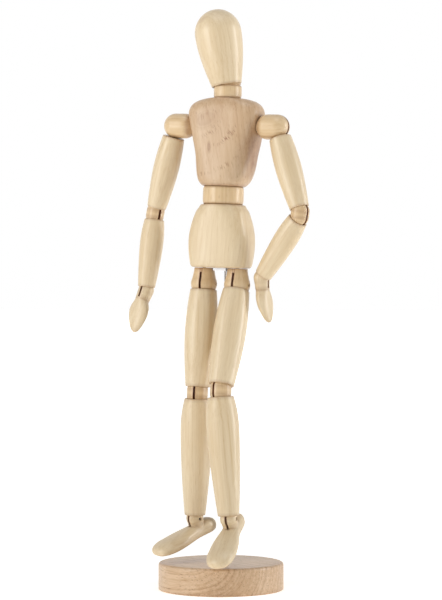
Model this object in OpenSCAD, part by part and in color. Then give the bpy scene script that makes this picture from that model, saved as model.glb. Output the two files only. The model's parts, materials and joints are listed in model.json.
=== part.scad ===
// Jointed wooden artist's figure on a round base, millimetres, standing along +Z and facing -Y.
// The origin is the centre of the base's underside.

/* [Base and support] */
// Diameter of the round base
base_d = 71; // [64:1:90]
// Thickness of the base
base_h = 15.5; // [13:0.5:20]
// Rounding of the base's top edge
base_edge = 1.6; // [0.8:0.2:3]
// Diameter of the steel support rod
rod_d = 3; // [2.4:0.2:3.6]
// Distance of the rod behind the middle of the figure
rod_back = 8; // [7:0.5:8.5]
// Height of the lower ankle pin above the base
ankle_lift = 24.4; // [22:0.2:40]

/* [Trunk] */
// Height of the pelvis
pelvis_h = 35.8; // [30:0.2:43]
// Width of the pelvis at its widest
pelvis_w = 35.5; // [34:0.5:43]
// Depth of the pelvis
pelvis_depth = 25; // [24.5:0.5:30]
// Distance of each hip from the middle
hip_x = 10.4; // [9.8:0.1:12]
// Diameter of the waist barrel
waist_d = 23.2; // [19:0.2:23.4]
// Visible height of the waist barrel
waist_h = 10.6; // [9:0.2:12.8]
// Height of the chest
chest_h = 49.8; // [42:0.2:60]
// Width of the chest at the shoulders
chest_w = 41; // [39:0.5:49]
// Depth of the chest at the bottom
chest_depth = 26; // [25:0.5:31]
// Depth of the chest at the top
chest_top_depth = 20; // [18:0.5:24]
// Diameter of the neck barrel
neck_d = 15.8; // [13:0.2:16]
// Visible height of the neck barrel
neck_h = 7.4; // [6.2:0.2:8.8]
// Height of the head
head_h = 43.8; // [37:0.2:52]
// Diameter of the head at its widest
head_d = 26.6; // [22:0.2:32]

/* [Arms] */
// Diameter of the shoulder piece
shoulder_d = 14.2; // [12:0.2:15]
// Length of the shoulder piece's straight part
shoulder_len = 5.5; // [4.5:0.1:7]
// Length of the upper arm, pin to pin
upper_arm_len = 50.5; // [42:0.5:61]
// Diameter of the upper arm at its widest
upper_arm_d = 14.8; // [13:0.2:17.8]
// Diameter of the elbow's domes
elbow_d = 10.4; // [9.6:0.2:11]
// Length of the forearm, pin to pin
forearm_len = 43; // [36:0.5:52]
// Diameter of the forearm at its widest
forearm_d = 13.5; // [11.6:0.1:16.2]
// Diameter of the wrist ball
wrist_d = 9.2; // [8.6:0.1:9.4]
// Length of the hand below the wrist pin
hand_len = 25.5; // [21:0.5:31]
// Width of the hand
hand_w = 13; // [11:0.2:16]
// Thickness of the hand
hand_t = 7; // [6:0.2:8.4]

/* [Legs] */
// Diameter of the hip piece
hip_d = 14.9; // [13.4:0.1:15.6]
// Distance of the hip pin below the pelvis
hip_drop = 9.3; // [9:0.1:11.2]
// Length of the thigh, pin to pin
thigh_len = 60.5; // [50:0.5:73]
// Diameter of the thigh at its widest
thigh_d = 18.6; // [16:0.2:19]
// Diameter of the knee's domes
knee_d = 12; // [11:0.2:13]
// Length of the shin, pin to pin
shin_len = 70; // [58:0.5:84]
// Diameter of the shin at the calf
shin_d = 18.4; // [16:0.2:19]
// Diameter of the ankle stub
ankle_d = 9.8; // [9.2:0.1:10.4]
// Length of the foot from heel to toe
foot_len = 44; // [37:0.5:53]
// Width of the foot at the toes
foot_w = 15; // [12.5:0.5:18]

/* [Joint hardware] */
// Diameter of the cross pins
pin_d = 1.2; // [1:0.1:1.3]
// Outer diameter of the flat eyes on the pins
eye_d = 2.8; // [2.5:0.1:3]
// Thickness of the flat eyes
eye_t = 0.8; // [0.6:0.1:0.9]
// Width of the slots that take the eyes
slot_w = 1.1; // [1:0.05:1.2]
// Distance between the two pins of an elbow or knee
pin_pitch = 3.2; // [3.1:0.1:3.8]
// Gap between a ball and the cup that it turns in
cup_gap = 0.15; // [0.1:0.01:0.3]
// Outer diameter of the limb springs
spring_d = 3.4; // [3:0.1:3.6]
// Thickness of the spring wire
wire_d = 0.6; // [0.5:0.05:0.7]
// Length of the wound part of a limb spring
spring_len = 18; // [12:1:20]

/* [Pose of the trunk] */
// Sideways tilt of the pelvis on its rod
pelvis_roll = 2; // [-4:0.5:4]
// Forward bow of the waist
waist_bow = -0.5; // [-15:0.5:20]
// Twist of the waist
waist_twist = 0; // [-40:1:40]
// Sideways lean of the chest
chest_lean = 0.5; // [-15:0.5:15]
// Nod of the neck
neck_nod = 2; // [-20:0.5:20]
// Turn of the head
head_turn = -1; // [-80:1:80]
// Sideways tilt of the head
head_tilt = -12; // [-20:0.5:20]

/* [Pose of the left limbs] */
// Swing of the left shoulder about its own axis
l_swing = -5; // [-90:1:60]
// Raise of the left arm away from the body
l_raise = 21; // [14:1:100]
// Twist of the left upper arm
l_arm_twist = -106; // [-150:1:20]
// Bend at each pin of the left elbow
l_elbow = -29; // [-33:0.5:5]
// Twist of the left forearm
l_forearm_twist = 9; // [-90:1:90]
// Bend of the left wrist
l_wrist = 40; // [-40:1:42]
// Turn of the left hip
l_hip = 1; // [-40:1:40]
// Swing of the left leg
l_leg = -17.5; // [-45:0.5:10]
// Twist of the left thigh
l_thigh_twist = -21; // [-40:1:40]
// Bend at each pin of the left knee
l_knee = 9; // [-5:0.5:28]
// Twist of the left shin
l_shin_twist = 22; // [-40:1:40]
// Bend of the left ankle
l_ankle = 32; // [-30:1:32]

/* [Pose of the right limbs] */
// Swing of the right shoulder about its own axis
r_swing = 3; // [-90:1:60]
// Raise of the right arm away from the body
r_raise = 14; // [14:1:100]
// Twist of the right upper arm
r_arm_twist = 56; // [-20:1:150]
// Bend at each pin of the right elbow
r_elbow = -7; // [-33:0.5:5]
// Twist of the right forearm
r_forearm_twist = -71; // [-90:1:90]
// Bend of the right wrist
r_wrist = -22; // [-40:1:40]
// Turn of the right hip
r_hip = 6; // [-40:1:40]
// Swing of the right leg
r_leg = -5; // [-45:0.5:10]
// Twist of the right thigh
r_thigh_twist = 0; // [-40:1:40]
// Bend at each pin of the right knee
r_knee = 3.5; // [-5:0.5:28]
// Twist of the right shin
r_shin_twist = -30; // [-40:1:40]
// Bend of the right ankle
r_ankle = 17; // [-30:1:32]

/* [Hidden] */

$fn = 64;
LEFT = 1;
RIGHT = -1;
eps = 0.01;

// Clearances of the metal parts
pin_fit = 0.02;
eye_fit = 0.05;
rod_fit = 0.06;
swivel_fit = 0.15;
seat_gap = 0.15;

// Shares of a dome that stand out of each cup, as the rim's distance from the pin
shoulder_rim = 0.468 * shoulder_d;
elbow_rim = 1.9;
wrist_rim = 1.9;
hip_rim = 0.22 * hip_d;
knee_rim = 1.7;
ankle_rim = 1.9;

// Rims of the limbs, as radii that leave a thin wall round each cup
rim_wall = 0.55;
rim_round = 0.5;
upper_arm_top_r = 6.3;
upper_arm_end_r = elbow_d / 2 + 0.3;
forearm_top_r = elbow_d / 2 + 0.5;
forearm_end_r = wrist_d / 2 + 0.35;
thigh_top_r = hip_d / 2 + 0.15;
thigh_end_r = knee_d / 2 + 1.1;
shin_top_r = knee_d / 2 + 1.3;
shin_end_r = ankle_d / 2 + 1.1;

pin_r = pin_d / 2;
pin_recess = 0.6;
shank_r = 0.5;
shank_head_r = 0.85;
shank_head_h = 0.8;
spring_r = spring_d / 2;
bore_r = spring_r + 0.3;
spring_cap = 0.8;
spring_start = 1.2;

bolt_r = 0.9;
bolt_head_r = 1.7;
bolt_head_h = 1;
bolt_depth = 9;

waist_ball = waist_d / 2 + 1.1;
neck_ball = neck_d / 2 + 0.7;
trunk_spring_r = 3.2;
trunk_spring_half = 4;
trunk_bore_r = 3.6;
hook_reach = 2;
hook_depth = 8;

// Matrices that place the pieces along the chain of joints
function tr(v) = [[1, 0, 0, v[0]], [0, 1, 0, v[1]], [0, 0, 1, v[2]], [0, 0, 0, 1]];
function rx(a) = [[1, 0, 0, 0], [0, cos(a), -sin(a), 0], [0, sin(a), cos(a), 0], [0, 0, 0, 1]];
function ry(a) = [[cos(a), 0, sin(a), 0], [0, 1, 0, 0], [-sin(a), 0, cos(a), 0], [0, 0, 0, 1]];
function rz(a) = [[cos(a), -sin(a), 0, 0], [sin(a), cos(a), 0, 0], [0, 0, 1, 0], [0, 0, 0, 1]];
function down(d) = tr([0, 0, -d]);
function up(d) = tr([0, 0, d]);
function by_side(side, left, right) = side == LEFT ? left : right;

// Legs, measured from the middle of the pelvis's underside
function hip_place(side) = tr([side * hip_x, 0, -hip_drop]) * rz(by_side(side, l_hip, r_hip));
function thigh_hook_place(side) = hip_place(side) * rx(by_side(side, l_leg, r_leg));
function thigh_place(side) = thigh_hook_place(side) * rz(by_side(side, l_thigh_twist, r_thigh_twist));
function knee_place(side) = thigh_place(side) * down(thigh_len) * rx(by_side(side, l_knee, r_knee));
function shin_hook_place(side) = knee_place(side) * down(pin_pitch) * rx(by_side(side, l_knee, r_knee));
function shin_place(side) = shin_hook_place(side) * rz(by_side(side, l_shin_twist, r_shin_twist));
function foot_place(side) = shin_place(side) * down(shin_len) * rx(by_side(side, l_ankle, r_ankle));

// The pelvis stands at the height that puts the lower ankle pin ankle_lift above the base
function ankle_drop(side) = -(ry(pelvis_roll) * foot_place(side))[2][3];
pelvis_z = base_h + ankle_lift + max(ankle_drop(LEFT), ankle_drop(RIGHT));
pelvis_frame = up(pelvis_z) * ry(pelvis_roll);
function hip_frame(side) = pelvis_frame * hip_place(side);
function thigh_hook_frame(side) = pelvis_frame * thigh_hook_place(side);
function thigh_frame(side) = pelvis_frame * thigh_place(side);
function knee_frame(side) = pelvis_frame * knee_place(side);
function shin_hook_frame(side) = pelvis_frame * shin_hook_place(side);
function shin_frame(side) = pelvis_frame * shin_place(side);
function foot_frame(side) = pelvis_frame * foot_place(side);
waist_frame = pelvis_frame * up(pelvis_h + waist_h / 2) * rx(waist_bow);
waist_spring_frame = waist_frame * rz(waist_twist);
chest_frame = waist_spring_frame * ry(chest_lean) * up(waist_h / 2);
neck_frame = chest_frame * up(chest_h + neck_h / 2) * rx(neck_nod);
neck_spring_frame = neck_frame * rz(head_turn);
head_frame = neck_spring_frame * ry(head_tilt) * up(neck_h / 2);

// Arms: the shoulder pins stand out from the chest's sides
shoulder_sunk = 1.6;
shoulder_x = chest_w / 2 + shoulder_len + shoulder_d / 2 - shoulder_sunk;
shoulder_z = 0.68 * chest_h;
function shoulder_frame(side) = chest_frame * tr([side * shoulder_x, 0, shoulder_z])
    * rx(by_side(side, l_swing, r_swing));
function arm_hook_frame(side) = shoulder_frame(side) * ry(-side * by_side(side, l_raise, r_raise));
function upper_arm_frame(side) = arm_hook_frame(side) * rz(by_side(side, l_arm_twist, r_arm_twist));
function elbow_frame(side) = upper_arm_frame(side) * down(upper_arm_len)
    * rx(by_side(side, l_elbow, r_elbow));
function forearm_hook_frame(side) = elbow_frame(side) * down(pin_pitch)
    * rx(by_side(side, l_elbow, r_elbow));
function forearm_frame(side) = forearm_hook_frame(side)
    * rz(by_side(side, l_forearm_twist, r_forearm_twist));
function hand_frame(side) = forearm_frame(side) * down(forearm_len) * rx(by_side(side, l_wrist, r_wrist));

// Colours
lime = [0.93, 0.83, 0.66];
beech = [0.87, 0.70, 0.55];
ball_wood = [0.86, 0.72, 0.50];
steel = [0.72, 0.73, 0.75];

// Outline of a limb: a belly that swells from the top rim to its widest and falls to the end rim
belly_steps = 14;
function belly(t, widest, top, most, end) =
    t < widest ? most - (most - top) * pow(1 - t / widest, 2)
               : most - (most - end) * pow((t - widest) / (1 - widest), 1.6);

module limb(len, top_ball, top_rim, top_r, end_ball, end_rim, end_r, most_r, widest) {
    tube = len - top_rim - end_rim;
    outline = [for (i = [0:belly_steps]) let (t = i / belly_steps)
        [belly(t, widest, top_r, most_r, end_r), -top_rim - rim_round - t * (tube - 2 * rim_round)]];
    difference() {
        rotate_extrude() polygon(concat(
            [[0, -top_rim], [top_r - rim_round, -top_rim]],
            outline,
            [[end_r - rim_round, -len + end_rim], [0, -len + end_rim]]));
        sphere(r = top_ball + cup_gap);
        translate([0, 0, -len]) sphere(r = end_ball + cup_gap);
        translate([0, 0, -len]) cylinder(r = bore_r, h = len);
    }
}

// Flat eye on a cross pin
module eye_blank() rotate([0, 90, 0]) cylinder(d = eye_d, h = eye_t, center = true);
module eye_hole() rotate([0, 90, 0]) cylinder(r = pin_r + eye_fit, h = 3 * eye_t, center = true);

// Hook that swivels in the top of a limb's spring, with its eye on the pin at the origin
module swivel_hook(ball_r) {
    reach = ball_r + spring_start + spring_cap + swivel_fit;
    color(steel) difference() {
        union() {
            eye_blank();
            translate([0, 0, -reach - eps]) cylinder(r = shank_r, h = reach);
            translate([0, 0, -reach - shank_head_h]) cylinder(r = shank_head_r, h = shank_head_h);
        }
        eye_hole();
    }
}

// Close-wound spring as a ribbed tube from the origin down, capped at both ends
module wound_tube(r, len, hole_r) {
    coils = floor(len / wire_d);
    pitch = len / coils;
    ribs = [for (i = [0:coils - 1]) each [[r - wire_d / 4, -i * pitch], [r, -(i + 0.5) * pitch]]];
    rotate_extrude() polygon(concat(
        [[hole_r, 0]], ribs, [[r - wire_d / 4, -len], [0, -len], [0, -len + spring_cap],
        [r - wire_d, -len + spring_cap], [r - wire_d, -spring_cap], [hole_r, -spring_cap]]));
}

// Spring of a limb with the eye that holds the limb's lower pin
module limb_spring(len, top_ball) {
    start = top_ball + spring_start;
    color(steel) {
        translate([0, 0, -start]) wound_tube(spring_r, spring_len, shank_r + swivel_fit);
        translate([0, 0, -len]) difference() {
            union() {
                eye_blank();
                cylinder(r = shank_r, h = len - start - spring_len + spring_cap / 2);
            }
            eye_hole();
        }
    }
}

// Cross pin along X, sunk a little below the ball's surface
module cross_pin(ball_r) color(steel)
    rotate([0, 90, 0]) cylinder(r = pin_r, h = 2 * (ball_r - pin_recess), center = true);
module pin_hole(ball_r) rotate([0, 90, 0])
    cylinder(r = pin_r + pin_fit, h = 2 * ball_r + 2, center = true);

// Outline of a slotted stub below its ball: the ball carries on a little way and then narrows
stub_from = 20;
function stub_outline(r, end_r, len) = concat([[0, -len], [end_r, -len]],
    [for (i = [0:3]) let (a = stub_from * (1 - i / 3)) [r * cos(a), -r * sin(a)]], dome_up(r, 0));

// Half outline of a dome: quarter circle of radius r about height z, from the axis or to it
dome_steps = 12;
function dome_up(r, z) = [for (i = [0:dome_steps]) let (a = 90 * i / dome_steps)
    [r * cos(a), z + r * sin(a)]];
function dome_down(r, z) = [for (i = [0:dome_steps]) let (a = 90 - 90 * i / dome_steps)
    [r * cos(a), z - r * sin(a)]];

// Elbow or knee: two domes about two pins, cut by a slot into two cheeks
module double_ball(r) color(ball_wood) difference() {
    rotate_extrude() polygon(concat(dome_down(r, -pin_pitch), dome_up(r, 0)));
    cube([slot_w, 3 * r, 6 * r], center = true);
    pin_hole(r);
    translate([0, 0, -pin_pitch]) pin_hole(r);
}
module double_pins(r) {
    cross_pin(r);
    translate([0, 0, -pin_pitch]) cross_pin(r);
}

module base() color(beech) difference() {
    rotate_extrude() polygon(concat(
        [[0, 0], [base_d / 2 - 0.5, 0], [base_d / 2, 0.5]],
        [for (i = [0:6]) let (a = 15 * i)
            [base_d / 2 - base_edge + base_edge * cos(a), base_h - base_edge + base_edge * sin(a)]],
        [[0, base_h]]));
    translate([0, rod_back, rod_foot]) cylinder(r = rod_d / 2 + pin_fit, h = base_h);
}

// The rod stands in a blind hole in the base and ends in a blind bore in the pelvis
rod_foot = 3;
rod_grip = 20;
bore_spare = 0.5;
module support_rod() color(steel) translate([0, rod_back, rod_foot])
    cylinder(r = rod_d / 2, h = pelvis_z + rod_grip - rod_foot);
module rod_bore(r) translate([0, rod_back, pelvis_z - 10]) cylinder(r = r, h = 10 + rod_grip + bore_spare);

// Rounded rectangle slab, for the pelvis
module pelvis_slab(w, d, corner, z, h) translate([0, 0, z]) linear_extrude(h)
    for (x = [-1, 1], y = [-1, 1]) translate([x * (w / 2 - corner), y * (d / 2 - corner)])
        circle(r = corner, $fn = 32);

// Steel plate under the pelvis that the rod goes through
plate_t = 1.5;
plate_w = 8;
plate_len = 14;
plate_front = -2.2;

module pelvis_body() hull() {
    pelvis_slab(pelvis_w - 4, pelvis_depth - 2, 8, 0, 0.1);
    pelvis_slab(pelvis_w - 2.4, pelvis_depth - 1, 8.5, 1, 0.1);
    pelvis_slab(pelvis_w, pelvis_depth, 9, 0.42 * pelvis_h, 0.1);
    pelvis_slab(pelvis_w - 3.5, pelvis_depth, 10, 0.68 * pelvis_h, 0.1);
    pelvis_slab(pelvis_w - 8, pelvis_depth, 12, 0.9 * pelvis_h, 0.1);
    translate([0, 0, pelvis_h - 0.1]) cylinder(r = waist_seat + rim_wall, h = 0.1, $fn = 32);
}
waist_seat = sqrt(pow(waist_ball + cup_gap, 2) - pow(waist_h / 2, 2));
neck_seat = sqrt(pow(neck_ball + cup_gap, 2) - pow(neck_h / 2, 2));

// The rod's bore is drilled upright, so it is cut in the world's frame and not in the pelvis's
module pelvis() color(lime) difference() {
    multmatrix(pelvis_frame) difference() {
        pelvis_body();
        translate([0, 0, pelvis_h + waist_h / 2]) sphere(r = waist_ball + cup_gap);
        translate([0, 0, pelvis_h + waist_h / 2 - waist_ball - hook_depth])
            cylinder(r = shank_r + pin_fit, h = hook_depth);
        for (x = [-hip_x, hip_x]) translate([x, 0, -1]) cylinder(r = bolt_r + pin_fit, h = bolt_depth + 1);
    }
    rod_bore(rod_d / 2 + rod_fit);
}

// Hook that stands out of a wooden seat into the hollow of a trunk barrel, its head near the centre
module trunk_hook(ball_r) {
    cylinder(r = shank_r, h = ball_r + hook_depth - hook_reach);
    translate([0, 0, ball_r + hook_depth - hook_reach - eps])
        cylinder(r = shank_head_r + 0.3, h = shank_head_h);
}

hip_bolt_z = 6.6;
module pelvis_fittings() color(steel) {
    multmatrix(pelvis_frame) {
        translate([0, 0, pelvis_h + waist_h / 2 - waist_ball - hook_depth]) trunk_hook(waist_ball);
        for (x = [-hip_x, hip_x]) translate([x, 0, -hip_drop]) {
            translate([0, 0, hip_bolt_z - eps]) cylinder(r = bolt_r, h = hip_drop - hip_bolt_z + bolt_depth);
            translate([0, 0, hip_bolt_z - bolt_head_h]) cylinder(r = bolt_head_r, h = bolt_head_h);
        }
    }
    difference() {
        multmatrix(pelvis_frame) translate([-plate_w / 2, plate_front, -plate_t - 0.02])
            cube([plate_w, plate_len, plate_t]);
        rod_bore(rod_d / 2 + rod_fit);
    }
}

// Barrel of the waist or neck: part of a ball, trimmed to a cylinder and bored with belled ends
module trunk_barrel(ball_r, barrel_r, bell_r) color(ball_wood) difference() {
    intersection() {
        sphere(r = ball_r);
        cylinder(r = barrel_r, h = 3 * ball_r, center = true);
    }
    cylinder(r = trunk_bore_r, h = 3 * ball_r, center = true);
    for (end = [0, 180]) rotate([end, 0, 0]) translate([0, 0, trunk_spring_half + 0.5])
        cylinder(r1 = trunk_bore_r - eps, r2 = bell_r, h = ball_r - trunk_spring_half - 0.5 + eps);
}
trunk_coils = floor(2 * trunk_spring_half / wire_d);
trunk_pitch = 2 * trunk_spring_half / trunk_coils;
module trunk_spring() color(steel) rotate_extrude() polygon(concat(
    [for (i = [0:trunk_coils - 1]) each [
        [trunk_spring_r - wire_d / 4, trunk_spring_half - i * trunk_pitch],
        [trunk_spring_r, trunk_spring_half - (i + 0.5) * trunk_pitch]]],
    [for (r = [wire_d / 4, wire_d]) [trunk_spring_r - r, -trunk_spring_half]],
    [[trunk_spring_r - wire_d, trunk_spring_half]]));

// Radii of the belled ends of the barrels' bores
waist_bell = 5.6;
neck_bell = 4.9;

// Chest: rounded block, wide at the shoulders, with its front drawn in towards the bottom
module chest_ball(x, y, z, r) for (side = [-1, 1]) translate([side * x, y, z]) sphere(r = r, $fn = 32);
module chest_body() hull() {
    top_y = chest_top_depth / 2;
    low_y = chest_depth / 2;
    half = chest_w / 2;
    chest_ball(half - 8, 2 - top_y + 4, chest_h - 5.2, 5);
    chest_ball(half - 8, top_y - 6, chest_h - 5.2, 5);
    chest_ball(half - 5, 5 - top_y, 0.86 * chest_h, 5);
    chest_ball(half - 5, top_y - 5, 0.86 * chest_h, 5);
    chest_ball(half - 5, 4.6 - top_y, 0.66 * chest_h, 5);
    chest_ball(half - 5, top_y - 4.6, 0.66 * chest_h, 5);
    chest_ball(half - 10.5, 6 - low_y, 0.24 * chest_h, 6);
    chest_ball(half - 9, low_y - 6, 0.24 * chest_h, 6);
    chest_ball(half - 12.5, 6.4 - low_y, 6.2, 6);
    chest_ball(half - 11.5, low_y - 6.4, 6.2, 6);
    translate([0, 0, eps]) cylinder(r = waist_seat + rim_wall, h = 0.1, $fn = 32);
    translate([0, 0, chest_h - 0.1]) cylinder(r = neck_seat + rim_wall, h = 0.1, $fn = 32);
}
module shoulder_dish() translate([-shoulder_len, 0, 0]) sphere(r = shoulder_d / 2 + cup_gap);
module chest() color(beech) difference() {
    chest_body();
    translate([0, 0, -waist_h / 2]) sphere(r = waist_ball + cup_gap);
    translate([0, 0, chest_h + neck_h / 2]) sphere(r = neck_ball + cup_gap);
    translate([0, 0, waist_ball - waist_h / 2 - 1]) cylinder(r = shank_r + pin_fit, h = hook_depth + 1);
    translate([0, 0, chest_h + neck_h / 2 - neck_ball - hook_depth])
        cylinder(r = shank_r + pin_fit, h = hook_depth);
    for (turn = [0, 180]) rotate([0, 0, turn]) translate([shoulder_x, 0, shoulder_z]) shoulder_dish();
    translate([0, 0, shoulder_z]) rotate([0, 90, 0]) cylinder(r = bore_r, h = chest_w, center = true);
}

// Spring through the chest, with a hook at each end whose head swivels inside the shoulder piece
tie_inset = 2;
tie_grip = 3.5;
tie_play = 1.4;
tie_reach = tie_inset + tie_grip;
tie_len = 2 * (shoulder_x - shoulder_len - shoulder_d / 2 - tie_inset);
module chest_ties() color(steel) {
    translate([0, 0, waist_ball - waist_h / 2 + hook_depth]) rotate([180, 0, 0]) trunk_hook(waist_ball);
    translate([0, 0, chest_h + neck_h / 2 - neck_ball - hook_depth]) trunk_hook(neck_ball);
    translate([tie_len / 2, 0, shoulder_z]) rotate([0, 90, 0]) wound_tube(spring_r, tie_len, 0);
    for (turn = [0, 180]) rotate([0, 0, turn])
        translate([tie_len / 2 - eps, 0, shoulder_z]) rotate([0, 90, 0]) {
            cylinder(r = shank_r, h = tie_reach);
            translate([0, 0, tie_reach - eps]) cylinder(r = shank_head_r, h = shank_head_h);
        }
}

module neck() trunk_barrel(neck_ball, neck_d / 2, neck_bell);
module waist() trunk_barrel(waist_ball, waist_d / 2, waist_bell);

// Head: an egg, widest at two thirds of its height, with a flat seat for the neck
head_steps = 12;
head_widest = 0.685;
head_foot_r = neck_seat + rim_wall;
module head() color(lime) difference() {
    rotate_extrude() polygon(concat(
        [[0, 0], [head_foot_r - 0.3, 0]],
        [for (i = [0:head_steps]) let (t = i / head_steps)
            [head_foot_r + (head_d / 2 - head_foot_r) * sin(90 * t), 0.3 + t * (head_widest * head_h - 0.3)]],
        [for (i = [1:head_steps]) let (a = 90 * i / head_steps)
            [head_d / 2 * cos(a), head_h * (head_widest + (1 - head_widest) * sin(a))]]));
    translate([0, 0, -neck_h / 2]) sphere(r = neck_ball + cup_gap);
    translate([0, 0, neck_ball - neck_h / 2 - 1]) cylinder(r = shank_r + pin_fit, h = hook_depth + 1);
}
module head_hook() color(steel)
    translate([0, 0, neck_ball - neck_h / 2 + hook_depth]) rotate([180, 0, 0]) trunk_hook(neck_ball);

// Shoulder: a capsule along X with its outer dome slotted for the arm's hook
module shoulder(side) color(ball_wood) {
    r = shoulder_d / 2;
    inner = shoulder_len + r;
    difference() {
        rotate([0, side * 90, 0]) rotate_extrude()
            polygon(concat(dome_down(r, -shoulder_len), dome_up(r, 0)));
        translate([side * (r - 1), 0, 0]) cube([2 * (r + 1), slot_w, 3 * r], center = true);
        rotate([90, 0, 0]) cylinder(r = pin_r + pin_fit, h = 3 * r, center = true);
        rotate([0, side * -90, 0]) cylinder(r = shank_r + swivel_fit, h = 2 * inner);
        rotate([0, side * -90, 0]) cylinder(r = shank_head_r + swivel_fit, h = inner - tie_grip + tie_play);
    }
}
module shoulder_pin() rotate([0, 0, 90]) cross_pin(shoulder_d / 2);

module upper_arm_hook() rotate([0, 0, 90]) swivel_hook(shoulder_d / 2);
module upper_arm() color(lime) limb(upper_arm_len, shoulder_d / 2, shoulder_rim, upper_arm_top_r,
    elbow_d / 2, elbow_rim, upper_arm_end_r, upper_arm_d / 2, 0.42);
module forearm() color(lime) limb(forearm_len, elbow_d / 2, elbow_rim, forearm_top_r,
    wrist_d / 2, wrist_rim, forearm_end_r, forearm_d / 2, 0.32);
module thigh() color(lime) limb(thigh_len, hip_d / 2, hip_rim, thigh_top_r,
    knee_d / 2, knee_rim, thigh_end_r, thigh_d / 2, 0.46);
module shin() color(lime) limb(shin_len, knee_d / 2, knee_rim, shin_top_r,
    ankle_d / 2, ankle_rim, shin_end_r, shin_d / 2, 0.24);

// Hip: a ball about its pin that tapers to a flat seat under the pelvis
hip_taper_from = 25;
hip_seat_r = 5.7;
hip_slot_top = 6.8;
bolt_room = 0.6;
module hip() color(ball_wood) difference() {
    r = hip_d / 2;
    rotate_extrude() polygon(concat(
        dome_down(r, 0),
        [for (i = [1:4]) let (a = hip_taper_from * i / 4) [r * cos(a), r * sin(a)]],
        [[hip_seat_r, hip_drop - seat_gap], [0, hip_drop - seat_gap]]));
    translate([0, 0, hip_slot_top - 2 * r]) cube([slot_w, 3 * r, 4 * r], center = true);
    pin_hole(r);
    translate([0, 0, hip_bolt_z - bolt_head_h - bolt_room])
        cylinder(r = bolt_head_r + swivel_fit, h = bolt_room + bolt_head_h + 0.1);
    cylinder(r = bolt_r + swivel_fit, h = hip_drop + 1);
}

// Hand: a mitten below its wrist ball, palm facing -Y
wrist_stub = 5;
wrist_slot = 4;
module hand() color(lime) {
    tip = hand_len - hand_t / 2;
    broad_z = -0.52 * hand_len;
    broad_x = (hand_w - hand_t) / 2;
    difference() {
        union() {
            rotate_extrude() polygon(stub_outline(wrist_d / 2, wrist_d / 2 - 0.5, wrist_stub));
            hull() {
                translate([0, 0, -wrist_stub - 0.5]) cylinder(r = wrist_d / 2 - 0.7, h = 0.6, $fn = 32);
                for (x = [-broad_x, broad_x]) translate([x, 0, broad_z]) sphere(d = hand_t, $fn = 32);
                translate([-0.4, -0.6, -tip]) sphere(d = hand_t - 1.6, $fn = 32);
                translate([1.2, -0.6, -tip + 2]) sphere(d = hand_t - 1.6, $fn = 32);
            }
        }
        translate([0, 0, (3 * wrist_d - wrist_slot) / 2])
            cube([slot_w, 3 * wrist_d, 3 * wrist_d + wrist_slot], center = true);
        pin_hole(wrist_d / 2);
    }
}

// Foot: a stub for the ankle pin, a round heel behind it and a broad toe in front
ankle_stub = 6;
ankle_slot = 5.5;
foot_sole = 11.4;
foot_t = 7;
module foot() color(lime) {
    heel_r = 5;
    toe_r = foot_t / 2 - 0.3;
    heel_y = 0.29 * foot_len - heel_r;
    toe_y = heel_y + heel_r - foot_len + toe_r + 1.2;
    difference() {
        union() {
            rotate_extrude() polygon(stub_outline(ankle_d / 2, ankle_d / 2 - 0.3, ankle_stub + 1));
            hull() {
                translate([0, heel_y, heel_r - foot_sole]) sphere(r = heel_r, $fn = 32);
                translate([0, -1.5, 4.4 - foot_sole]) sphere(r = 4.4, $fn = 32);
                for (x = [-1, 1]) translate([x * (foot_w / 2 - toe_r), 0.45 * toe_y, toe_r - foot_sole])
                    sphere(r = toe_r, $fn = 32);
                for (x = [-1, 1]) translate([x * (foot_w / 2 - toe_r - 1), toe_y, toe_r - foot_sole])
                    sphere(r = toe_r, $fn = 32);
                translate([0, 0.1 * toe_y, -ankle_stub - 1]) cylinder(r = ankle_d / 2 - 0.8, h = 0.5, $fn = 32);
            }
        }
        translate([0, 0, (3 * ankle_d - ankle_slot) / 2])
            cube([slot_w, 3 * ankle_d, 3 * ankle_d + ankle_slot], center = true);
        pin_hole(ankle_d / 2);
    }
}

base();
support_rod();
pelvis();
pelvis_fittings();
multmatrix(waist_frame) waist();
multmatrix(waist_spring_frame) trunk_spring();  // waist_spring
multmatrix(chest_frame) chest();
multmatrix(chest_frame) chest_ties();
multmatrix(neck_frame) neck();
multmatrix(neck_spring_frame) trunk_spring();  // neck_spring
multmatrix(head_frame) head();
multmatrix(head_frame) head_hook();
multmatrix(shoulder_frame(LEFT)) shoulder(LEFT);  // left_shoulder
multmatrix(shoulder_frame(LEFT)) shoulder_pin();  // left_shoulder_pin
multmatrix(arm_hook_frame(LEFT)) upper_arm_hook();  // left_upper_arm_hook
multmatrix(upper_arm_frame(LEFT)) upper_arm();  // left_upper_arm
multmatrix(upper_arm_frame(LEFT)) limb_spring(upper_arm_len, shoulder_d / 2);  // left_upper_arm_spring
multmatrix(elbow_frame(LEFT)) double_ball(elbow_d / 2);  // left_elbow
multmatrix(elbow_frame(LEFT)) double_pins(elbow_d / 2);  // left_elbow_pins
multmatrix(forearm_hook_frame(LEFT)) swivel_hook(elbow_d / 2);  // left_forearm_hook
multmatrix(forearm_frame(LEFT)) forearm();  // left_forearm
multmatrix(forearm_frame(LEFT)) limb_spring(forearm_len, elbow_d / 2);  // left_forearm_spring
multmatrix(hand_frame(LEFT)) hand();  // left_hand
multmatrix(hand_frame(LEFT)) cross_pin(wrist_d / 2);  // left_wrist_pin
multmatrix(hip_frame(LEFT)) hip();  // left_hip
multmatrix(hip_frame(LEFT)) cross_pin(hip_d / 2);  // left_hip_pin
multmatrix(thigh_hook_frame(LEFT)) swivel_hook(hip_d / 2);  // left_thigh_hook
multmatrix(thigh_frame(LEFT)) thigh();  // left_thigh
multmatrix(thigh_frame(LEFT)) limb_spring(thigh_len, hip_d / 2);  // left_thigh_spring
multmatrix(knee_frame(LEFT)) double_ball(knee_d / 2);  // left_knee
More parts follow.
